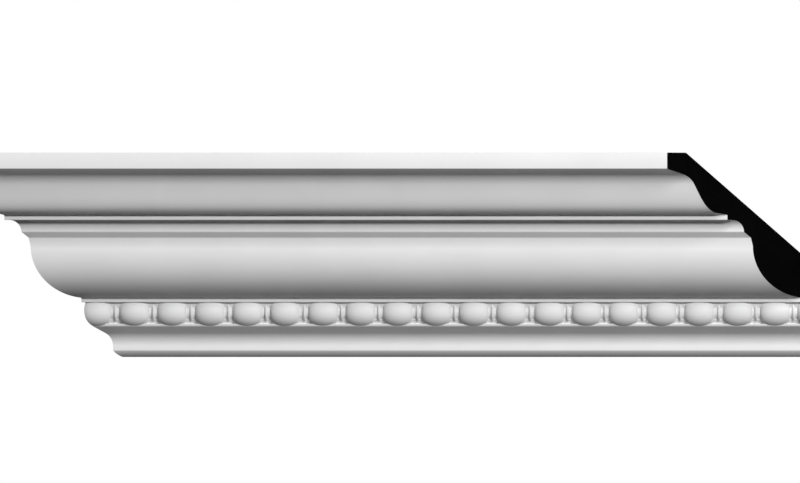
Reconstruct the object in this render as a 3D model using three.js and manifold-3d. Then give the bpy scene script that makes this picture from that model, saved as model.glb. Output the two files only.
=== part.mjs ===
// A length of cornice moulding, cast in one piece, as it hangs in the corner between a wall and a ceiling.
//
// The frame is the moulding's own. +X runs along the length, +Y points back into the wall and +Z points up to
// the ceiling. The origin is the middle of the flat face that lies against the wall. All sizes are millimetres.
//
// The face steps down and back from the ceiling to the wall. From the top it has a plain fillet, an ogee, a
// narrow fillet, a small hollow, a large quarter round, a row of beads and reels between two fillets, a hollow
// and a rounded foot. The back is hollow to the corner, cut away on one slope. Both ends are sawn to the same
// mitre, so each end shows the true section when the length is looked at square from the front.

import * as THREE from "three";
import { mergeVertices } from "three/addons/utils/BufferGeometryUtils.js";
import Module from "manifold-3d";

// The length, measured along any one edge, and how far each end is off a square cut.
const LENGTH = 361;
const MITRE_DEGREES = 45;

// The two flats that bed on the building.
const CEILING_FACE_WIDTH = 9.5;
const WALL_FACE_HEIGHT = 28.7;

// The members of the face, from the ceiling down. A drop is vertical and a ledge runs back towards the wall.
const TOP_FILLET_HEIGHT = 8.2;
const TOP_LEDGE = 7;
const TOP_LEDGE_DROP = 1.85;
const TOP_HOLLOW_RADIUS = 9.2;
const TOP_HOLLOW_TURN = 66;
const OGEE_DEPTH = 14.5;
const OGEE_DROP = 15.2;
const OGEE_UPPER_PULL = 10.2;
const OGEE_LOWER_PULL = 7;
const LISTEL_LEDGE = 2.9;
const LISTEL_LEDGE_DROP = 0.65;
const LISTEL_HEIGHT = 2.5;
const SMALL_HOLLOW_LEDGE = 2.4;
const SMALL_HOLLOW_RADIUS = 6;
const QUIRK_DEPTH = 3.4;
const QUIRK_DROP = 3.2;
const QUARTER_ROUND_LEAN = 1.1;
const QUARTER_ROUND_FACE = 3.75;
const QUARTER_ROUND_DEPTH = 28.5;
const QUARTER_ROUND_DROP = 26.7;
const QUARTER_ROUND_TURN = 83;
const UPPER_BEAD_FILLET = 1.8;
const CHANNEL_DEPTH = 2.2;
const CHANNEL_HEIGHT = 10.1;
const CHANNEL_LEAN = 4.1;
const LOWER_LEDGE = 1.2;
const LOWER_BEAD_FILLET = 1.9;
const FOOT_LEDGE = 6.5;
const FOOT_LEDGE_DROP = 3.35;
const FOOT_HOLLOW_RADIUS = 7.5;
const FOOT_FACE = 1.77;
const NOSE_RADIUS = 5.6;
const NOSE_START = 20;
const NOSE_END = 85;
const FOOT_EDGE = 6.17;

// The string of beads and reels. Each repeat is one long bead and one thin disc, a reel, on a core.
const BEAD_PITCH = 18.88;
const BEAD_LENGTH = 14.7;
const BEAD_RADIUS = 8.6;
const REEL_RADIUS = 6.6;
const REEL_THICKNESS = 1.5;
const CORE_RADIUS = 5.6;
const STRING_STANDS_OUT = 4.8;
const STRING_BELOW_FILLET = 4;
const REEL_OFFSET = -1.2;

// How finely the curves are cut into facets.
const CURVE_STEPS = 12;
const BEAD_STEPS = 8;
const STRING_SIDES = 24;

// Draws a straight run from where the path is now.
function run(path, back, down) {
  path.lineTo(path.currentPoint.x + back, path.currentPoint.y - down);
}

// The heading of a straight run, in degrees, 0 straight back towards the wall and 90 straight down.
function headingOf(back, down) {
  return THREE.MathUtils.radToDeg(Math.atan2(down, back));
}

// Draws a hollow, an arc that turns downwards from one heading to another.
function hollow(path, radius, from, to) {
  const start = THREE.MathUtils.degToRad(from);
  const end = THREE.MathUtils.degToRad(to);
  const x = path.currentPoint.x - radius * Math.sin(start);
  const y = path.currentPoint.y - radius * Math.cos(start);
  path.absarc(x, y, radius, Math.PI / 2 - start, Math.PI / 2 - end, true);
}

// Draws a round, part of an ellipse that turns back under itself. Its angles are in degrees, 0 where it would be
// straight down and 90 where it would be level.
function round(path, depth, drop, from, to) {
  const start = THREE.MathUtils.degToRad(from);
  const end = THREE.MathUtils.degToRad(to);
  const x = path.currentPoint.x + depth * Math.cos(start);
  const y = path.currentPoint.y + drop * Math.sin(start);
  path.absellipse(x, y, depth, drop, Math.PI + start, Math.PI + end, false);
}

// Draws the ogee's lower half, which carries on down from the upper hollow, swells out and ends level.
function ogee(path) {
  const { x, y } = path.currentPoint;
  const heading = THREE.MathUtils.degToRad(TOP_HOLLOW_TURN);
  const footX = x + OGEE_DEPTH;
  const footY = y - OGEE_DROP;
  path.bezierCurveTo(
    x + OGEE_UPPER_PULL * Math.cos(heading),
    y - OGEE_UPPER_PULL * Math.sin(heading),
    footX - OGEE_LOWER_PULL,
    footY,
    footX,
    footY,
  );
}

// The section, with x running back from the ceiling's front edge and y up from the ceiling's face.
function drawSection() {
  const section = new THREE.Shape();
  section.moveTo(0, 0);
  run(section, 0, TOP_FILLET_HEIGHT);
  run(section, TOP_LEDGE, TOP_LEDGE_DROP);
  hollow(section, TOP_HOLLOW_RADIUS, headingOf(TOP_LEDGE, TOP_LEDGE_DROP), TOP_HOLLOW_TURN);
  ogee(section);
  run(section, LISTEL_LEDGE, LISTEL_LEDGE_DROP);
  run(section, 0, LISTEL_HEIGHT);
  run(section, SMALL_HOLLOW_LEDGE, 0);
  hollow(section, SMALL_HOLLOW_RADIUS, 0, 90);
  run(section, QUIRK_DEPTH, QUIRK_DROP);
  run(section, QUARTER_ROUND_LEAN, QUARTER_ROUND_FACE);
  round(section, QUARTER_ROUND_DEPTH, QUARTER_ROUND_DROP, 0, QUARTER_ROUND_TURN);
  run(section, 0, UPPER_BEAD_FILLET);
  const channelTop = section.currentPoint.clone();
  run(section, CHANNEL_DEPTH, 0);
  run(section, CHANNEL_LEAN, CHANNEL_HEIGHT);
  run(section, -LOWER_LEDGE, 0);
  run(section, 0, LOWER_BEAD_FILLET);
  run(section, FOOT_LEDGE, FOOT_LEDGE_DROP);
  hollow(section, FOOT_HOLLOW_RADIUS, headingOf(FOOT_LEDGE, FOOT_LEDGE_DROP), 90);
  run(section, 0, FOOT_FACE);
  round(section, NOSE_RADIUS, NOSE_RADIUS, NOSE_START, NOSE_END);
  run(section, FOOT_EDGE, 0);
  const wallFoot = section.currentPoint.clone();
  run(section, 0, -WALL_FACE_HEIGHT);
  section.lineTo(CEILING_FACE_WIDTH, 0);
  section.closePath();
  return { section, channelTop, wallFoot };
}

// Turns a sweep or a lathe made along its own axis so that it runs along +X, with the section's x running back
// and its y up.
const ALONG_X = new THREE.Matrix4().makeBasis(
  new THREE.Vector3(0, 1, 0),
  new THREE.Vector3(0, 0, 1),
  new THREE.Vector3(1, 0, 0),
);

const wasm = await Module();
wasm.setup();

// A closed geometry as a solid that can be joined and cut.
function solidOf(geometry) {
  const bare = new THREE.BufferGeometry();
  bare.setAttribute("position", geometry.getAttribute("position"));
  bare.setIndex(geometry.index);
  const merged = mergeVertices(bare, 1e-4);
  return new wasm.Manifold(
    new wasm.Mesh({
      numProp: 3,
      vertProperties: new Float32Array(merged.getAttribute("position").array),
      triVerts: new Uint32Array(merged.index.array),
    }),
  );
}

// A solid as a geometry again, with flat facets.
function geometryOf(solid) {
  const mesh = solid.getMesh();
  const geometry = new THREE.BufferGeometry();
  geometry.setAttribute("position", new THREE.BufferAttribute(mesh.vertProperties, mesh.numProp));
  geometry.setIndex(new THREE.BufferAttribute(mesh.triVerts, 1));
  const flat = geometry.toNonIndexed();
  flat.computeVertexNormals();
  return flat;
}

const { section, channelTop, wallFoot } = drawSection();
const projection = wallFoot.x;
const ceilingLevel = WALL_FACE_HEIGHT / 2 - wallFoot.y - WALL_FACE_HEIGHT;

// The mitre carries the front of each end sideways by this much from the back.
const mitreSlope = Math.tan(THREE.MathUtils.degToRad(MITRE_DEGREES));
const mitreRun = Math.abs(mitreSlope) * projection;
const roughLength = LENGTH + 2 * mitreRun + 2 * BEAD_PITCH;

// The plain moulding, swept along the length and left long for the saw.
function sweepBody() {
  const geometry = new THREE.ExtrudeGeometry(section, {
    depth: roughLength,
    bevelEnabled: false,
    curveSegments: CURVE_STEPS,
  });
  geometry.translate(-projection, ceilingLevel, -roughLength / 2);
  geometry.applyMatrix4(ALONG_X);
  return geometry;
}

// One repeat of the string, as its radius at each step along it, from the reel to the end of the bead.
function stringRepeat(centre) {
  const reelStart = centre - REEL_THICKNESS / 2;
  const reelEnd = centre + REEL_THICKNESS / 2;
  const points = [
    [CORE_RADIUS, reelStart],
    [REEL_RADIUS, reelStart],
    [REEL_RADIUS, reelEnd],
    [CORE_RADIUS, reelEnd],
  ];
  const beadStart = centre + (BEAD_PITCH - BEAD_LENGTH) / 2;
  for (let i = 0; i <= BEAD_STEPS; i += 1) {
    const angle = (Math.PI * i) / BEAD_STEPS;
    const swell = (BEAD_RADIUS - CORE_RADIUS) * Math.sin(angle);
    points.push([CORE_RADIUS + swell, beadStart + (BEAD_LENGTH * (1 - Math.cos(angle))) / 2]);
  }
  return points;
}

// The whole string of beads and reels, turned as one long spindle and set in the channel between the fillets.
function turnString() {
  const repeats = Math.ceil((LENGTH / 2 + mitreRun) / BEAD_PITCH) + 1;
  const outline = [];
  for (let i = -repeats; i < repeats; i += 1) {
    outline.push(...stringRepeat(REEL_OFFSET + i * BEAD_PITCH));
  }
  const first = outline[0][1];
  const last = outline[outline.length - 1][1];
  const points = [[0, first], ...outline, [0, last]].map(([radius, along]) => new THREE.Vector2(radius, along));
  const geometry = new THREE.LatheGeometry(points, STRING_SIDES);
  geometry.rotateZ(-Math.PI / 2);
  geometry.translate(
    0,
    channelTop.x + CHANNEL_DEPTH + (CHANNEL_LEAN * STRING_BELOW_FILLET) / CHANNEL_HEIGHT + STRING_STANDS_OUT - projection,
    ceilingLevel + channelTop.y - STRING_BELOW_FILLET,
  );
  return geometry;
}

// The block of space between the two saw cuts. Its plan is a leaning parallelogram, as deep as the moulding.
function mitreBlock() {
  const clear = projection;
  const front = -projection - clear;
  const plan = new THREE.Shape();
  plan.moveTo(-LENGTH / 2 + front * mitreSlope, front);
  plan.lineTo(LENGTH / 2 + front * mitreSlope, front);
  plan.lineTo(LENGTH / 2 + clear * mitreSlope, clear);
  plan.lineTo(-LENGTH / 2 + clear * mitreSlope, clear);
  plan.closePath();
  const top = ceilingLevel + clear;
  const geometry = new THREE.ExtrudeGeometry(plan, { depth: 2 * top, bevelEnabled: false });
  geometry.translate(0, 0, -top);
  return geometry;
}

const carved = solidOf(sweepBody()).add(solidOf(turnString()));
const sawn = carved.intersect(solidOf(mitreBlock()));

const primedPolyurethane = new THREE.MeshStandardMaterial({ color: 0xe8e8e6, roughness: 0.62, metalness: 0 });

const moulding = new THREE.Mesh(geometryOf(sawn), primedPolyurethane);
moulding.name = "cornice_moulding";

const cornice = new THREE.Group();
cornice.add(moulding);

export default cornice;
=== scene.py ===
import math
import random

import bmesh
import bpy
from bpy.props import FloatProperty, FloatVectorProperty, IntProperty, PointerProperty
from mathutils import Matrix, Vector
from mathutils.geometry import interpolate_bezier


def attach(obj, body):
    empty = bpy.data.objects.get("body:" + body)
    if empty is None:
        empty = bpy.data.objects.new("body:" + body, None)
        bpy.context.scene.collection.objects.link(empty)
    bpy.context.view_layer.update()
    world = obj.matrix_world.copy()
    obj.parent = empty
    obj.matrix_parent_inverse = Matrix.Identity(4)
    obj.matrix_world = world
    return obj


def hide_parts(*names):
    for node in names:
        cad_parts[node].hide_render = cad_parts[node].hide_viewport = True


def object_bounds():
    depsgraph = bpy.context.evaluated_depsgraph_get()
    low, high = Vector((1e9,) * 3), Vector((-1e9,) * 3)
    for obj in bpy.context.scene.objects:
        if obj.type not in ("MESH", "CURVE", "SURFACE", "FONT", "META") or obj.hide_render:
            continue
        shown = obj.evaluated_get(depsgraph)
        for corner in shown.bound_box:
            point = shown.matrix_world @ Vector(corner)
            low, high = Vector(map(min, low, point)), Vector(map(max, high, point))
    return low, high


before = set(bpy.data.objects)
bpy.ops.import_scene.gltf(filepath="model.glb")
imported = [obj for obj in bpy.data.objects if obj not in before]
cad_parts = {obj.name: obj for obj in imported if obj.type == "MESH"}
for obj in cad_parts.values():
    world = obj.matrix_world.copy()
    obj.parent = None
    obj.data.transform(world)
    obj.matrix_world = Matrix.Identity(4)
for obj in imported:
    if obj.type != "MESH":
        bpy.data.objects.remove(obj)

bl_info = {
    "name": "Cornice moulding length",
    "version": (1, 0, 0),
    "blender": (4, 5, 0),
    "location": "3D View > Sidebar > Cornice",
    "description": "Casts a mitred length of bead-and-reel cornice and lights it in a white studio",
    "category": "Add Mesh",
}

CAD_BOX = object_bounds()
CAD_NODE = "cornice_moulding"
MM = 0.001

# The photograph's frame, and the place in it of the moulding's upper right front corner.
FRAME_WIDTH_PIXELS = 800
FRAME_HEIGHT_PIXELS = 483
CORNER_COLUMN = 666.0
CORNER_ROW = 152.9
PIXEL = 0.5 * MM

# The camera's lens and sensor in millimetres, and the nearest and farthest that it sees in metres.
LENS = 1000.0
SENSOR_WIDTH = 36.0
NEAREST = 1.0
FARTHEST = 60.0

# Straight pieces that each curve of the section and of the string is drawn with.
TOP_HOLLOW_STEPS = 14
OGEE_STEPS = 16
SMALL_HOLLOW_STEPS = 12
QUARTER_ROUND_STEPS = 28
FOOT_HOLLOW_STEPS = 12
NOSE_STEPS = 8
REEL_STEPS = 8
BEAD_STEPS = 20

# The casting before it is sawn: its length as a multiple of the finished one, the least share of it that a
# lengthwise edge has, the cuts along it, and how many repeats further left than it needs the string starts.
SPARE_LENGTH = 1.12
LONG_EDGE = 0.99
CUTS_ALONG = 56
SPARE_REPEATS = 4

# Corners of the section that turn by more than this are softened, and edges by more than this look sharp.
SOFTENED_TURN = math.radians(20)
SHARP_TURN = math.radians(32)
ARRIS_SEGMENTS = 3

# The least cosine of the angle between a face and a saw cut, or the back, for it to count as part of that.
FACES_CUT = 0.9999
FACES_BACK = 0.999

# How far a bead's start, its length and its radius may be off, as shares of the wander.
START_WANDER = 0.3
LENGTH_WANDER = 0.6
RADIUS_WANDER = 0.4

# The part of the casting skin's tone that is mottling, the rest being marks along the run.
MOTTLE_SHARE = 0.75

# How strong the saw's marks are beside the casting skin's relief.
TOOTH_SHARE = 0.4

# A mix node's sockets for colours: the factor, the two colours and the result.
MIX_FACTOR = 0
MIX_FIRST = 6
MIX_SECOND = 7
MIX_RESULT = 2

# Studio sizes in metres: half the floor's width, its distance under the origin, and the lights' distance.
FLOOR_REACH = 7.0
FLOOR_DROP = 0.75
PANEL_DISTANCE = 2.6

ALONG = Vector((1, 0, 0))
BACK = Vector((0, 1, 0))
UP = Vector((0, 0, 1))


def length(name, description, millimetres):
    """A size that a user can change, given in millimetres and kept in metres."""
    return FloatProperty(
        name=name, description=description, default=millimetres * MM, unit="LENGTH", subtype="DISTANCE"
    )


def turn(name, description, degrees):
    """An angle that a user can change, given in degrees and kept in radians."""
    return FloatProperty(
        name=name, description=description, default=math.radians(degrees), unit="ROTATION", subtype="ANGLE"
    )


def colour(name, description, value):
    """A colour that a user can change."""
    return FloatVectorProperty(
        name=name, description=description, default=value, subtype="COLOR", size=3, min=0.0, max=1.0
    )


class SectionSizes(bpy.types.PropertyGroup):
    """The members of the face, from the ceiling down, and the two flats that bed on the building."""

    ceiling_flat: length("Ceiling flat", "Width of the face against the ceiling", 9.5)
    wall_flat: length("Wall flat", "Height of the face against the wall", 28.7)
    top_fillet: length("Top fillet", "Height of the plain band under the ceiling", 8.05)
    top_ledge: length("Top ledge", "Depth of the ledge under the top fillet", 8.0)
    top_ledge_drop: length("Top ledge drop", "Fall of the ledge under the top fillet", 2.75)
    top_hollow: length("Top hollow", "Radius of the hollow under the top ledge", 10.0)
    top_hollow_turn: turn("Top hollow turn", "How far the top hollow turns down", 64.0)
    ogee_depth: length("Ogee depth", "How far the ogee's swell runs back", 13.816)
    ogee_drop: length("Ogee drop", "Height of the ogee's swell", 14.53)
    ogee_upper_pull: length("Ogee upper pull", "How long the swell keeps the hollow's heading", 10.0)
    ogee_lower_pull: length("Ogee lower pull", "How long the swell runs level at its foot", 7.0)
    listel_ledge: length("Listel ledge", "Depth of the ledge over the listel", 2.9)
    listel_ledge_drop: length("Listel ledge drop", "Fall of the ledge over the listel", 0.65)
    listel: length("Listel", "Height of the narrow fillet under the ogee", 2.5)
    small_hollow_ledge: length("Small hollow ledge", "Depth of the ledge over the small hollow", 2.4)
    small_hollow: length("Small hollow", "Radius of the small hollow", 6.0)
    quirk_depth: length("Quirk depth", "Depth of the slant into the quarter round", 3.5)
    quirk_drop: length("Quirk drop", "Height of the slant into the quarter round", 2.8)
    round_lean: length("Quarter round lean", "How far the face of the quarter round leans back", 1.0)
    round_face: length("Quarter round face", "Height of the straight start of the quarter round", 4.15)
    round_depth: length("Quarter round depth", "How far back a full quarter of the round would run", 28.5)
    round_drop: length("Quarter round drop", "Height of a full quarter of the round", 26.2)
    round_turn: turn("Quarter round turn", "How much of the quarter is there", 83.0)
    upper_fillet: length("Upper bead fillet", "Height of the fillet over the beads", 2.3)
    channel_depth: length("Channel depth", "Depth of the bead channel at its top", 2.2)
    channel_height: length("Channel height", "Height of the bead channel's back", 8.9)
    channel_lean: length("Channel lean", "How far the channel's back leans towards the wall", 3.475)
    groove_depth: length("Groove depth", "How far the groove under the string runs in", 2.2)
    groove_drop: length("Groove drop", "Height of the groove under the string", 1.8)
    lower_ledge: length("Lower ledge", "Depth of the ledge under the beads", 2.775)
    lower_fillet: length("Lower bead fillet", "Height of the fillet under the beads", 1.3)
    lower_lean: length("Lower lean", "How far the fillet under the beads leans back", 0.6)
    foot_ledge: length("Foot ledge", "Depth of the sloping ledge under the lower fillet", 6.083)
    foot_ledge_drop: length("Foot ledge drop", "Fall of the sloping ledge", 3.35)
    foot_hollow: length("Foot hollow", "Radius of the foot's hollow", 7.5)
    foot_face: length("Foot face", "Height of the foot's plain face", 2.23)
    nose_radius: length("Nose radius", "Radius of the rounded nose", 11.1)
    nose_start: turn("Nose start", "How far under the nose already faces where it starts", 40.0)
    nose_end: turn("Nose end", "How far under the nose faces where it ends", 70.0)
    foot_edge: length("Foot edge", "Width of the flat under the foot", 6.235)
    arris: length("Arris", "How much each sharp corner of the casting is softened", 0.35)


class BeadSizes(bpy.types.PropertyGroup):
    """The string of beads and reels."""

    pitch: length("Pitch", "Length of one repeat", 18.88)
    bead_length: length("Bead length", "Length of a bead", 14.7)
    bead_radius: length("Bead radius", "Radius at a bead's middle", 8.45)
    core_radius: length("Core radius", "Radius between the beads and reels", 5.3)
    reel_radius: length("Reel radius", "Radius of a reel", 6.3)
    reel_thickness: length("Reel thickness", "Thickness of a reel", 1.5)
    stands_out: length("Stands out", "How far the channel's back is in front of the string's axis", 4.8)
    below_fillet: length("Below fillet", "How far the string's axis is below the upper fillet", 3.85)
    first_reel: length("First reel", "Where one reel stands, from the middle of the wall face", -1.2)
    wander: length("Wander", "How far a reel and the bead after it may be off their places", 0.28)
    sides: IntProperty(name="Sides", description="Facets around the string", default=56, min=16)
    seed: IntProperty(name="Seed", description="Which set of small irregularities is used", default=7)


class CorniceLooks(bpy.types.PropertyGroup):
    """The colours of the casting's finishes and of the studio."""

    primer: colour("Primer", "The factory-primed face", (0.78, 0.78, 0.78))
    foam: colour("Foam", "The bare back of the casting", (0.66, 0.63, 0.56))
    cut: colour("Blackened cut", "The painted ends", (0.0012, 0.0012, 0.0012))
    floor: colour("Floor", "The studio floor", (0.82, 0.82, 0.82))


def new_mesh_object(name, bm):
    """Puts a finished bmesh into a new object at the origin."""
    mesh = bpy.data.meshes.new(name)
    bm.to_mesh(mesh)
    bm.free()
    piece = bpy.data.objects.new(name, mesh)
    bpy.context.scene.collection.objects.link(piece)
    return piece


def draw_run(bm, tip, back=0.0, down=0.0, along=0.0):
    """Draws a straight line on from the tip, and returns its new end."""
    new = bmesh.ops.extrude_vert_indiv(bm, verts=[tip])["verts"]
    bmesh.ops.translate(bm, verts=new, vec=ALONG * along + BACK * back - UP * down)
    return new[0]


def draw_arc(bm, tip, centre, axis, angle, steps, stretch=Vector((1, 1, 1))):
    """Draws an arc on from the tip about a centre, stretched about it where it is part of an ellipse."""
    before = set(bm.verts)
    spun = bmesh.ops.spin(bm, geom=[tip], cent=centre, axis=axis, angle=angle, steps=steps)
    new = [v for v in bm.verts if v not in before]
    bmesh.ops.scale(bm, verts=new, vec=stretch, space=Matrix.Translation(-centre))
    return next(item for item in spun["geom_last"] if isinstance(item, bmesh.types.BMVert))


def draw_hollow(bm, tip, radius, start, end, steps):
    """Draws a hollow that turns from one heading to another, 0 straight back and a right angle down."""
    centre = tip.co - BACK * radius * math.sin(start) - UP * radius * math.cos(start)
    return draw_arc(bm, tip, centre, ALONG, start - end, steps)


def draw_round(bm, tip, depth, drop, angle, steps):
    """Draws a round that starts straight down and turns back under itself."""
    centre = tip.co + BACK * depth
    return draw_arc(bm, tip, centre, ALONG, angle, steps, Vector((1, 1, drop / depth)))


def draw_nose(bm, tip, radius, start, end, steps):
    """Draws an arc that turns back under itself between two angles, 0 down and a right angle level."""
    centre = tip.co + BACK * radius * math.cos(start) + UP * radius * math.sin(start)
    return draw_arc(bm, tip, centre, ALONG, end - start, steps)


def draw_ogee(bm, tip, section, steps):
    """Draws the ogee's swell, which carries on from the hollow above it and ends level."""
    heading = section.top_hollow_turn
    start = tip.co.copy()
    foot = start + BACK * section.ogee_depth - UP * section.ogee_drop
    upper = start + (BACK * math.cos(heading) - UP * math.sin(heading)) * section.ogee_upper_pull
    lower = foot - BACK * section.ogee_lower_pull
    points = interpolate_bezier(start, upper, lower, foot, steps + 1)
    for here, there in zip(points, points[1:]):
        step = there - here
        tip = draw_run(bm, tip, back=step.y, down=-step.z)
    return tip


def draw_section(bm, section):
    """Draws the closed section, and returns where the bead channel starts."""
    right_angle = math.pi / 2
    start = bm.verts.new(Vector((0, CAD_BOX[0].y, CAD_BOX[1].z)))
    tip = draw_run(bm, start, down=section.top_fillet)
    tip = draw_run(bm, tip, back=section.top_ledge, down=section.top_ledge_drop)
    ledge_heading = math.atan2(section.top_ledge_drop, section.top_ledge)
    tip = draw_hollow(bm, tip, section.top_hollow, ledge_heading, section.top_hollow_turn, TOP_HOLLOW_STEPS)
    tip = draw_ogee(bm, tip, section, OGEE_STEPS)
    tip = draw_run(bm, tip, back=section.listel_ledge, down=section.listel_ledge_drop)
    tip = draw_run(bm, tip, down=section.listel)
    tip = draw_run(bm, tip, back=section.small_hollow_ledge)
    tip = draw_hollow(bm, tip, section.small_hollow, 0.0, right_angle, SMALL_HOLLOW_STEPS)
    tip = draw_run(bm, tip, back=section.quirk_depth, down=section.quirk_drop)
    tip = draw_run(bm, tip, back=section.round_lean, down=section.round_face)
    tip = draw_round(
        bm, tip, section.round_depth, section.round_drop, section.round_turn, QUARTER_ROUND_STEPS
    )
    tip = draw_run(bm, tip, down=section.upper_fillet)
    channel = tip.co.copy()
    tip = draw_run(bm, tip, back=section.channel_depth)
    tip = draw_run(bm, tip, back=section.channel_lean, down=section.channel_height)
    tip = draw_run(bm, tip, back=section.groove_depth, down=section.groove_drop)
    tip = draw_run(bm, tip, back=-section.lower_ledge)
    tip = draw_run(bm, tip, back=section.lower_lean, down=section.lower_fillet)
    tip = draw_run(bm, tip, back=section.foot_ledge, down=section.foot_ledge_drop)
    ledge_heading = math.atan2(section.foot_ledge_drop, section.foot_ledge)
    tip = draw_hollow(bm, tip, section.foot_hollow, ledge_heading, right_angle, FOOT_HOLLOW_STEPS)
    tip = draw_run(bm, tip, down=section.foot_face)
    tip = draw_nose(bm, tip, section.nose_radius, section.nose_start, section.nose_end, NOSE_STEPS)
    tip = draw_run(bm, tip, back=section.foot_edge)
    tip = draw_run(bm, tip, down=-section.wall_flat)
    last = bm.verts.new(start.co + BACK * section.ceiling_flat)
    bm.edges.new((tip, last))
    bm.edges.new((last, start))
    return channel


def soften_corners(bm, amount, least_turn):
    """Rounds the corners of the section that turn by more than the given angle."""
    corners = []
    for vert in bm.verts:
        ends = [edge.other_vert(vert).co - vert.co for edge in vert.link_edges]
        if ends[0].angle(-ends[1]) > least_turn:
            corners.append(vert)
    bmesh.ops.bevel(
        bm, geom=corners, affect="VERTICES", offset=amount, offset_type="OFFSET", segments=ARRIS_SEGMENTS,
        profile=0.5, material=-1, clamp_overlap=True,
    )


def rough_span():
    """How far the casting runs along its length before it is sawn, from end to end."""
    return (CAD_BOX[1].x - CAD_BOX[0].x) * SPARE_LENGTH


def sweep_body(section):
    """Sweeps the plain moulding along the length, and returns it and where the bead channel starts."""
    bm = bmesh.new()
    channel = draw_section(bm, section)
    bmesh.ops.contextual_create(bm, geom=bm.edges[:])
    soften_corners(bm, section.arris, SOFTENED_TURN)
    middle = (CAD_BOX[0].x + CAD_BOX[1].x) / 2
    bmesh.ops.translate(bm, verts=bm.verts[:], vec=ALONG * (middle - rough_span() / 2))
    before = set(bm.verts)
    bmesh.ops.extrude_face_region(bm, geom=bm.faces[:])
    far_end = [v for v in bm.verts if v not in before]
    bmesh.ops.translate(bm, verts=far_end, vec=ALONG * rough_span())
    long_edges = [e for e in bm.edges if e.calc_length() > rough_span() * LONG_EDGE]
    bmesh.ops.subdivide_edges(bm, edges=long_edges, cuts=CUTS_ALONG)
    bmesh.ops.recalc_face_normals(bm, faces=bm.faces[:])
    return new_mesh_object("casting_body", bm), channel


def draw_reel(bm, tip, centre, beads):
    """Draws one thin disc of the string with a round rim."""
    half = beads.reel_thickness / 2
    tip = draw_run(bm, tip, along=centre - half - tip.co.x)
    middle = tip.co + ALONG * half
    height = (beads.reel_radius - beads.core_radius) / half
    return draw_arc(bm, tip, middle, BACK, math.pi, REEL_STEPS, Vector((1, 1, height)))


def draw_bead(bm, tip, start, end, radius, beads):
    """Draws one long bead, which swells from the core to its middle and back as half an ellipse."""
    tip = draw_run(bm, tip, along=start - tip.co.x)
    half = (end - start) / 2
    height = (radius - beads.core_radius) / half
    middle = tip.co + ALONG * half
    return draw_arc(bm, tip, middle, BACK, math.pi, BEAD_STEPS, Vector((1, 1, height)))


def turn_string(section, beads, channel):
    """Turns the string of beads and reels about its axis, in front of the channel."""
    chance = random.Random(beads.seed)
    bm = bmesh.new()
    needed = math.ceil(rough_span() / beads.pitch / 2)
    to_left = needed + SPARE_REPEATS
    start = beads.first_reel - to_left * beads.pitch
    pole = bm.verts.new(Vector((start, 0, 0)))
    tip = draw_run(bm, pole, down=-beads.core_radius)
    for repeat in range(1 - to_left, needed + 1):
        reel = beads.first_reel + repeat * beads.pitch + chance.uniform(-1, 1) * beads.wander
        tip = draw_reel(bm, tip, reel, beads)
        gap = (beads.pitch - beads.bead_length) / 2
        bead_start = reel + gap + chance.uniform(-START_WANDER, START_WANDER) * beads.wander
        bead_end = bead_start + beads.bead_length + chance.uniform(-LENGTH_WANDER, 0.0) * beads.wander
        radius = beads.bead_radius + chance.uniform(-RADIUS_WANDER, RADIUS_WANDER) * beads.wander
        tip = draw_bead(bm, tip, bead_start, bead_end, radius, beads)
    draw_run(bm, tip, down=beads.core_radius)
    bmesh.ops.spin(
        bm, geom=bm.verts[:] + bm.edges[:], cent=Vector(), axis=ALONG, angle=math.tau, steps=beads.sides,
        use_merge=True,
    )
    bmesh.ops.remove_doubles(bm, verts=bm.verts[:], dist=0.01 * MM)
    fall = section.channel_lean * beads.below_fillet / section.channel_height
    axis_back = section.channel_depth + fall + beads.stands_out
    bmesh.ops.translate(
        bm, verts=bm.verts[:],
        vec=BACK * (channel.y + axis_back) + UP * (channel.z - beads.below_fillet),
    )
    bmesh.ops.recalc_face_normals(bm, faces=bm.faces[:])
    return new_mesh_object("bead_string", bm)


def join_solids(body, other):
    """Joins another solid to the body for good, and deletes the other."""
    union = body.modifiers.new("Join", "BOOLEAN")
    union.operation = "UNION"
    union.solver = "EXACT"
    union.object = other
    bpy.context.view_layer.update()
    joined = bpy.data.meshes.new_from_object(body.evaluated_get(bpy.context.evaluated_depsgraph_get()))
    body.modifiers.remove(union)
    body.data = joined
    bpy.data.objects.remove(other)


def saw_cuts():
    """The two mitre planes, each as a point on it and its outward normal."""
    span = CAD_BOX[1].x - CAD_BOX[0].x
    depth = CAD_BOX[1].y - CAD_BOX[0].y
    half_length = (span - depth) / 2
    outward = (ALONG - BACK).normalized()
    return [(Vector((half_length, 0, 0)), outward), (Vector((-half_length, 0, 0)), -outward)]


def saw_ends(piece):
    """Saws both ends to their mitres and closes them."""
    bm = bmesh.new()
    bm.from_mesh(piece.data)
    for point, outward in saw_cuts():
        cut = bmesh.ops.bisect_plane(
            bm, geom=bm.verts[:] + bm.edges[:] + bm.faces[:], dist=0.001 * MM, plane_co=point,
            plane_no=outward, clear_outer=True,
        )
        rim = [item for item in cut["geom_cut"] if isinstance(item, bmesh.types.BMEdge)]
        bmesh.ops.contextual_create(bm, geom=rim)
    bmesh.ops.recalc_face_normals(bm, faces=bm.faces[:])
    bm.to_mesh(piece.data)
    bm.free()


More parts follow.
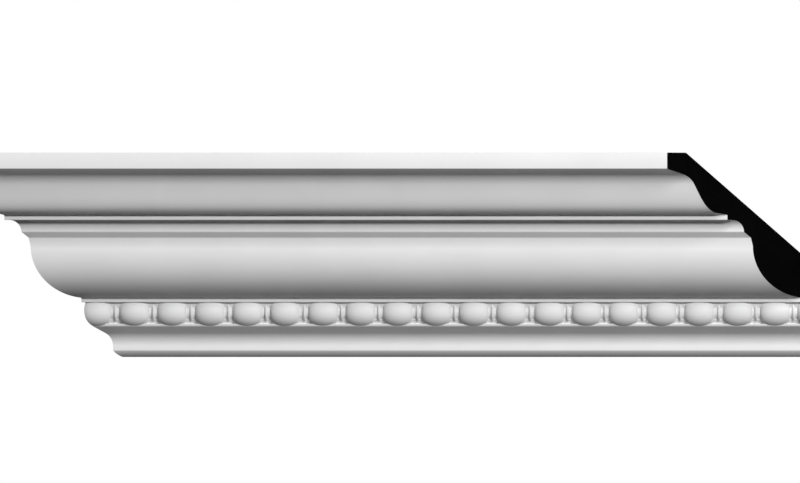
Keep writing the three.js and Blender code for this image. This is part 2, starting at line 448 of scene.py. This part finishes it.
def finish_faces(piece, section, finishes):
    """Gives the primed face, the bare back and the blackened cuts their finishes."""
    for material in finishes:
        piece.data.materials.append(material)
    primed, bare, blackened = range(3)
    cuts = [outward for point, outward in saw_cuts()]
    slope_run = CAD_BOX[1].y - CAD_BOX[0].y - section.ceiling_flat
    slope_fall = CAD_BOX[1].z - CAD_BOX[0].z - section.wall_flat
    slope = (BACK * slope_fall + UP * slope_run).normalized()
    for face in piece.data.polygons:
        if any(face.normal.dot(outward) > FACES_CUT for outward in cuts):
            face.material_index = blackened
        elif face.normal.dot(slope) > FACES_BACK or face.normal.y > FACES_BACK:
            face.material_index = bare
        else:
            face.material_index = primed
    piece.data.shade_smooth()
    piece.data.set_sharp_from_angle(angle=SHARP_TURN)


def new_group(name, inputs, outputs):
    """Starts a shader node group with named inputs and outputs, and returns it with its two end nodes."""
    group = bpy.data.node_groups.new(name, "ShaderNodeTree")
    for socket, kind, default in inputs:
        made = group.interface.new_socket(name=socket, in_out="INPUT", socket_type=kind)
        made.default_value = default
    for socket, kind in outputs:
        group.interface.new_socket(name=socket, in_out="OUTPUT", socket_type=kind)
    entry = group.nodes.new("NodeGroupInput")
    leave = group.nodes.new("NodeGroupOutput")
    return group, entry, leave


def add_node(tree, kind, settings=None, **inputs):
    """Adds a node with its settings, and sets or links its inputs by name."""
    node = tree.nodes.new(kind)
    for name, value in (settings or {}).items():
        setattr(node, name, value)
    for name, value in inputs.items():
        socket = node.inputs[name.replace("_", " ")]
        if isinstance(value, bpy.types.NodeSocket):
            tree.links.new(value, socket)
        else:
            socket.default_value = value
    return node


def do_math(tree, operation, first, second):
    """Adds a math node, and returns its result."""
    node = add_node(tree, "ShaderNodeMath", {"operation": operation})
    for socket, value in zip(node.inputs, (first, second)):
        if isinstance(value, bpy.types.NodeSocket):
            tree.links.new(value, socket)
        else:
            socket.default_value = value
    return node.outputs[0]


def casting_skin_group():
    """Fine stipple, broad mottling and faint marks along the run, for any surface that left a mould."""
    group, entry, leave = new_group(
        "Casting skin",
        [
            ("Stipple Scale", "NodeSocketFloat", 900.0),
            ("Mottle Scale", "NodeSocketFloat", 45.0),
            ("Drag Scale", "NodeSocketFloat", 260.0),
            ("Stipple Amount", "NodeSocketFloat", 0.5),
            ("Drag Amount", "NodeSocketFloat", 0.3),
        ],
        [("Tone", "NodeSocketFloat"), ("Height", "NodeSocketFloat")],
    )
    place = add_node(group, "ShaderNodeTexCoord").outputs["Object"]
    stretched = add_node(group, "ShaderNodeMapping", Vector=place, Scale=(0.06, 1.0, 1.0)).outputs[0]
    stipple = add_node(
        group, "ShaderNodeTexNoise", Vector=place, Scale=entry.outputs["Stipple Scale"], Detail=3.0,
        Roughness=0.6,
    ).outputs[0]
    mottle = add_node(
        group, "ShaderNodeTexNoise", Vector=place, Scale=entry.outputs["Mottle Scale"], Detail=4.0,
        Roughness=0.55,
    ).outputs[0]
    drag = add_node(
        group, "ShaderNodeTexNoise", Vector=stretched, Scale=entry.outputs["Drag Scale"], Detail=2.0
    ).outputs[0]
    fine = do_math(group, "MULTIPLY", stipple, entry.outputs["Stipple Amount"])
    marks = do_math(group, "MULTIPLY", drag, entry.outputs["Drag Amount"])
    height = do_math(group, "ADD", fine, marks)
    mottled = do_math(group, "MULTIPLY", mottle, MOTTLE_SHARE)
    dragged = do_math(group, "MULTIPLY", drag, 1 - MOTTLE_SHARE)
    tone = do_math(group, "ADD", mottled, dragged)
    group.links.new(tone, leave.inputs["Tone"])
    group.links.new(height, leave.inputs["Height"])
    return group


def start_material(name):
    """Starts a material with one Principled shader, and returns both."""
    material = bpy.data.materials.new(name)
    material.use_nodes = True
    return material, material.node_tree.nodes["Principled BSDF"]


def add_skin(tree, group, **values):
    """Places the casting skin in a material with its own values."""
    skin = tree.nodes.new("ShaderNodeGroup")
    skin.node_tree = group
    for name, value in values.items():
        skin.inputs[name.replace("_", " ")].default_value = value
    return skin


def shade_between(tree, mask, low, high, darkest, lightest):
    """Turns a mask into a colour between two, over the stretch of the mask from low to high."""
    ramp = add_node(tree, "ShaderNodeValToRGB", Fac=mask)
    ramp.color_ramp.elements[0].position = low
    ramp.color_ramp.elements[0].color = (*darkest, 1.0)
    ramp.color_ramp.elements[1].position = high
    ramp.color_ramp.elements[1].color = (*lightest, 1.0)
    return ramp.outputs["Color"]


def spread(tree, mask, low, high, at_low, at_high):
    """Maps the stretch of a mask from low to high onto the values for its two ends."""
    node = add_node(tree, "ShaderNodeMapRange", Value=mask)
    for name, value in (("From Min", low), ("From Max", high), ("To Min", at_low), ("To Max", at_high)):
        node.inputs[name].default_value = value
    return node.outputs[0]


def scaled(value, factor):
    """A colour made lighter or darker by a factor."""
    return tuple(min(1.0, channel * factor) for channel in value)


def primed_face(looks, group):
    """Smooth white primer over a moulded foam skin."""
    material, shader = start_material("Primed face")
    tree = material.node_tree
    skin = add_skin(tree, group, Stipple_Scale=1100.0, Mottle_Scale=38.0, Drag_Scale=240.0, Drag_Amount=0.45)
    mask = skin.outputs["Tone"]
    darkest = scaled(looks.primer, 0.972)
    lightest = scaled(looks.primer, 1.02)
    tone = shade_between(tree, mask, low=0.32, high=0.68, darkest=darkest, lightest=lightest)
    tree.links.new(tone, shader.inputs["Base Color"])
    sheen = spread(tree, mask, low=0.3, high=0.7, at_low=0.62, at_high=0.5)
    tree.links.new(sheen, shader.inputs["Roughness"])
    bump = add_node(tree, "ShaderNodeBump", Strength=0.22, Distance=0.12 * MM, Height=skin.outputs["Height"])
    tree.links.new(bump.outputs["Normal"], shader.inputs["Normal"])
    shader.inputs["Specular IOR Level"].default_value = 0.3
    return material


def bare_foam(looks, group):
    """The unprimed back, struck off flat, with small open pores whose pits are darkened with painted shade.
    """
    material, shader = start_material("Bare foam back")
    tree = material.node_tree
    skin = add_skin(tree, group, Stipple_Scale=700.0, Mottle_Scale=22.0, Drag_Scale=120.0, Drag_Amount=0.8)
    place = add_node(tree, "ShaderNodeTexCoord").outputs["Object"]
    cells = add_node(tree, "ShaderNodeTexVoronoi", Vector=place, Scale=420.0, Randomness=1.0)
    pores = spread(tree, cells.outputs["Distance"], low=0.12, high=0.32, at_low=0.0, at_high=1.0)
    darkest = scaled(looks.foam, 0.9)
    lightest = scaled(looks.foam, 1.06)
    tone = shade_between(tree, skin.outputs["Tone"], low=0.3, high=0.7, darkest=darkest, lightest=lightest)
    # Painted shade: each pore's pit is coloured darker than the foam, standing in for the shade inside it.
    pore_shade_mix = add_node(tree, "ShaderNodeMix", {"data_type": "RGBA"})
    pore_shade_mix.inputs[MIX_FIRST].default_value = (*scaled(looks.foam, 0.72), 1.0)
    tree.links.new(pores, pore_shade_mix.inputs[MIX_FACTOR])
    tree.links.new(tone, pore_shade_mix.inputs[MIX_SECOND])
    tree.links.new(pore_shade_mix.outputs[MIX_RESULT], shader.inputs["Base Color"])
    sheen = spread(tree, pores, low=0.0, high=1.0, at_low=0.95, at_high=0.8)
    tree.links.new(sheen, shader.inputs["Roughness"])
    relief = do_math(tree, "ADD", skin.outputs["Height"], pores)
    bump = add_node(tree, "ShaderNodeBump", Strength=0.5, Distance=0.3 * MM, Height=relief)
    tree.links.new(bump.outputs["Normal"], shader.inputs["Normal"])
    shader.inputs["Specular IOR Level"].default_value = 0.15
    return material


def blackened_cut(looks, group):
    """The sawn end, painted matt black over the faint marks of the saw."""
    material, shader = start_material("Blackened cut")
    tree = material.node_tree
    skin = add_skin(tree, group, Stipple_Scale=600.0, Mottle_Scale=60.0, Drag_Scale=300.0)
    mask = skin.outputs["Tone"]
    darkest = scaled(looks.cut, 0.6)
    lightest = scaled(looks.cut, 1.5)
    tone = shade_between(tree, mask, low=0.3, high=0.7, darkest=darkest, lightest=lightest)
    tree.links.new(tone, shader.inputs["Base Color"])
    place = add_node(tree, "ShaderNodeTexCoord").outputs["Object"]
    teeth = add_node(
        tree, "ShaderNodeTexWave", {"wave_type": "BANDS", "bands_direction": "DIAGONAL"}, Vector=place,
        Scale=240.0, Distortion=1.5, Detail=2.0,
    ).outputs["Fac"]
    tooth_marks = do_math(tree, "MULTIPLY", teeth, TOOTH_SHARE)
    relief = do_math(tree, "ADD", skin.outputs["Height"], tooth_marks)
    bump = add_node(tree, "ShaderNodeBump", Strength=0.4, Distance=0.2 * MM, Height=relief)
    tree.links.new(bump.outputs["Normal"], shader.inputs["Normal"])
    sheen = spread(tree, mask, low=0.3, high=0.7, at_low=0.95, at_high=0.8)
    tree.links.new(sheen, shader.inputs["Roughness"])
    shader.inputs["Specular IOR Level"].default_value = 0.02
    return material


def floor_finish(looks):
    """Plain pale floor paint with the slightest unevenness."""
    material, shader = start_material("Studio floor")
    tree = material.node_tree
    place = add_node(tree, "ShaderNodeTexCoord").outputs["Object"]
    patches = add_node(tree, "ShaderNodeTexNoise", Vector=place, Scale=3.0, Detail=3.0).outputs[0]
    darkest = scaled(looks.floor, 0.985)
    lightest = scaled(looks.floor, 1.01)
    tone = shade_between(tree, patches, low=0.3, high=0.7, darkest=darkest, lightest=lightest)
    tree.links.new(tone, shader.inputs["Base Color"])
    shader.inputs["Roughness"].default_value = 0.9
    return material


def add_panel_light(name, direction, width, height, power, aim):
    """Hangs a soft rectangular light in a direction from the aim point, facing it."""
    lamp = bpy.data.lights.new(name, "AREA")
    lamp.shape = "RECTANGLE"
    lamp.size = width
    lamp.size_y = height
    lamp.energy = power
    light = bpy.data.objects.new(name, lamp)
    bpy.context.scene.collection.objects.link(light)
    light.location = aim + direction.normalized() * PANEL_DISTANCE
    light.rotation_euler = (-direction).to_track_quat("-Z", "Y").to_euler()
    light.visible_camera = False


def compass(right, up):
    """The direction that is so many degrees right of straight in front, and so many up."""
    right = math.radians(right)
    up = math.radians(up)
    return Vector((math.sin(right) * math.cos(up), -math.cos(right) * math.cos(up), math.sin(up)))


def light_world():
    """A white backdrop for the camera and a faint even light for everything else."""
    world = bpy.data.worlds.new("Studio")
    bpy.context.scene.world = world
    world.use_nodes = True
    tree = world.node_tree
    tree.nodes.clear()
    faint = add_node(tree, "ShaderNodeBackground", Color=(1, 1, 1, 1), Strength=0.02)
    backdrop = add_node(tree, "ShaderNodeBackground", Color=(1, 1, 1, 1), Strength=1.0)
    choose = add_node(tree, "ShaderNodeMixShader")
    tree.links.new(add_node(tree, "ShaderNodeLightPath").outputs["Is Camera Ray"], choose.inputs[0])
    tree.links.new(faint.outputs[0], choose.inputs[1])
    tree.links.new(backdrop.outputs[0], choose.inputs[2])
    tree.links.new(choose.outputs[0], add_node(tree, "ShaderNodeOutputWorld").inputs["Surface"])


def set_camera():
    """Stands a long lens square in front, so that it matches the photograph's frame at the middle depth."""
    lens = bpy.data.cameras.new("Front camera")
    lens.sensor_fit = "HORIZONTAL"
    lens.sensor_width = SENSOR_WIDTH
    lens.lens = LENS
    lens.clip_start = NEAREST
    lens.clip_end = FARTHEST
    camera = bpy.data.objects.new("Front camera", lens)
    bpy.context.scene.collection.objects.link(camera)
    corner = Vector((CAD_BOX[1].x + CAD_BOX[0].y, (CAD_BOX[0].y + CAD_BOX[1].y) / 2, CAD_BOX[1].z))
    distance = FRAME_WIDTH_PIXELS * PIXEL * lens.lens / lens.sensor_width
    across = (FRAME_WIDTH_PIXELS / 2 - CORNER_COLUMN) * PIXEL
    down = (FRAME_HEIGHT_PIXELS / 2 - CORNER_ROW) * PIXEL
    camera.location = corner + ALONG * across - UP * down - BACK * distance
    camera.rotation_euler = (math.pi / 2, 0, 0)
    bpy.context.scene.camera = camera


class CORNICE_OT_cast(bpy.types.Operator):
    """Casts the moulding in one piece and saws both ends to their mitres"""

    bl_idname = "cornice.cast"
    bl_label = "Cast the cornice"

    def execute(self, context):
        section = context.scene.cornice_section
        body, channel = sweep_body(section)
        join_solids(body, turn_string(section, context.scene.cornice_beads, channel))
        body.name = "cornice_casting"
        body.data.name = "cornice_casting"
        saw_ends(body)
        looks = context.scene.cornice_looks
        group = casting_skin_group()
        finish_faces(
            body, section, [primed_face(looks, group), bare_foam(looks, group), blackened_cut(looks, group)]
        )
        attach(body, "root")
        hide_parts(CAD_NODE)
        return {"FINISHED"}


class CORNICE_OT_stage(bpy.types.Operator):
    """Lays the floor, hangs the lights and sets the camera square in front"""

    bl_idname = "cornice.stage"
    bl_label = "Set the studio"

    def execute(self, context):
        bm = bmesh.new()
        bmesh.ops.create_grid(bm, x_segments=1, y_segments=1, size=FLOOR_REACH)
        bmesh.ops.translate(bm, verts=bm.verts[:], vec=-UP * FLOOR_DROP)
        floor = new_mesh_object("floor", bm)
        floor.data.materials.append(floor_finish(context.scene.cornice_looks))
        floor.visible_diffuse = False
        middle = (CAD_BOX[0] + CAD_BOX[1]) / 2
        key = compass(right=22, up=16)
        high = compass(right=26, up=33)
        rear = compass(right=200, up=50)
        add_panel_light("Key panel", key, width=1.0, height=0.3, power=55.0, aim=middle)
        add_panel_light("High panel", high, width=1.2, height=0.7, power=26.0, aim=middle)
        add_panel_light("Rear panel", rear, width=2.0, height=2.0, power=40.0, aim=middle)
        light_world()
        set_camera()
        context.scene.view_settings.view_transform = "Standard"
        return {"FINISHED"}


class CORNICE_PT_sidebar(bpy.types.Panel):
    """The cornice's own tab in the 3D view's sidebar"""

    bl_label = "Cornice"
    bl_idname = "CORNICE_PT_sidebar"
    bl_space_type = "VIEW_3D"
    bl_region_type = "UI"
    bl_category = "Cornice"

    def draw(self, context):
        scene = context.scene
        for settings in (scene.cornice_section, scene.cornice_beads, scene.cornice_looks):
            box = self.layout.box()
            for name in settings.bl_rna.properties.keys():
                if name not in ("rna_type", "name"):
                    box.prop(settings, name)
        self.layout.operator(CORNICE_OT_cast.bl_idname)
        self.layout.operator(CORNICE_OT_stage.bl_idname)


CLASSES = (SectionSizes, BeadSizes, CorniceLooks, CORNICE_OT_cast, CORNICE_OT_stage, CORNICE_PT_sidebar)


def register():
    """Registers the classes and hangs the settings on the scene."""
    for cls in CLASSES:
        bpy.utils.register_class(cls)
    bpy.types.Scene.cornice_section = PointerProperty(type=SectionSizes)
    bpy.types.Scene.cornice_beads = PointerProperty(type=BeadSizes)
    bpy.types.Scene.cornice_looks = PointerProperty(type=CorniceLooks)


def unregister():
    """Takes the settings and the classes away again."""
    del bpy.types.Scene.cornice_looks
    del bpy.types.Scene.cornice_beads
    del bpy.types.Scene.cornice_section
    for cls in reversed(CLASSES):
        bpy.utils.unregister_class(cls)


def main():
    register()
    bpy.ops.cornice.stage()
    bpy.ops.cornice.cast()


if __name__ == "__main__":
    main()
